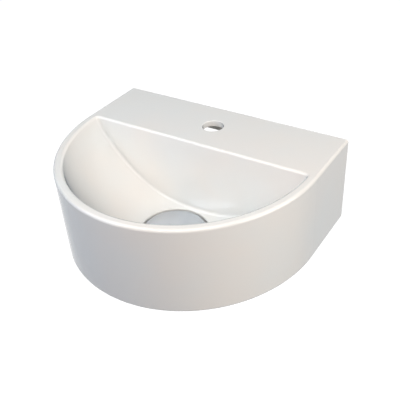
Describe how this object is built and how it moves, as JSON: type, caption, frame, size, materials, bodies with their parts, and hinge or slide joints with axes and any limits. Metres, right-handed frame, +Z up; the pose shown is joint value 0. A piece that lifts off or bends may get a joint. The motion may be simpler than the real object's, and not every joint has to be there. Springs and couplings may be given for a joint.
{
  "type": "wall hung basin",
  "caption": "D-shaped wall hung wash basin with a half-round bowl, a flat tap ledge with one tap hole and a push-open waste, held by wall bolts.",
  "frame": {"origin": "on the wall, midway between the two wall bolts", "axes": "+X to the right seen from the front, +Y into the wall, +Z up; the bowl reaches out along -Y"},
  "size_m": [0.42, 0.404, 0.1855],
  "materials": {
    "glazed_ceramic": "white vitreous china under a clear gloss glaze",
    "waste_chrome": "bright plate on brass",
    "cap_chrome": "bright plate, softly reflecting",
    "seal_rubber": "moulded, matt",
    "washer_plastic": "moulded, matt",
    "nut_brass": "turned, bare",
    "carrier_plastic": "moulded, matt",
    "stem_brass": "turned, bare",
    "index_plastic": "moulded, matt",
    "spring_steel": "drawn wire",
    "bolt_steel": "zinc plated",
    "cover_plastic": "moulded, gloss"
  },
  "bodies": {
    "basin": {"basin_body": "glazed_ceramic", "waste_body": "waste_chrome", "flange_seal": "seal_rubber", "lower_seal": "seal_rubber", "slip_washer": "washer_plastic", "back_nut": "nut_brass", "cartridge_housing": "carrier_plastic", "cartridge_nut": "stem_brass", "cartridge_retainer": "carrier_plastic", "latch_spring": "spring_steel", "wall_bolts": "bolt_steel", "fixing_sleeves": "washer_plastic", "fixing_washers": "bolt_steel", "fixing_nuts": "bolt_steel", "nut_covers": "cover_plastic"},
    "plug": {"plug_cap": "cap_chrome", "cap_carrier": "carrier_plastic", "plug_seal": "seal_rubber", "plug_stem": "stem_brass", "stem_locknut": "stem_brass"},
    "index_ring": {"index_ring": "index_plastic"}
  },
  "joints": [
    {"name": "plug_slide", "type": "slide", "parent": "basin", "child": "plug", "axis": [0, 0, 1], "range_m": [0, 0.009], "deforming": ["latch_spring"]},
    {"name": "index_ring_turn", "type": "hinge", "parent": "plug", "child": "index_ring", "pos_m": [0, -0.18884, -0.0925], "axis": [0, 0, 1], "range_deg": [0, 45]}
  ],
  "couplings": [
    {"joint": "index_ring_turn", "follows": "plug_slide", "rad_per_m": 87.26}
  ]
}
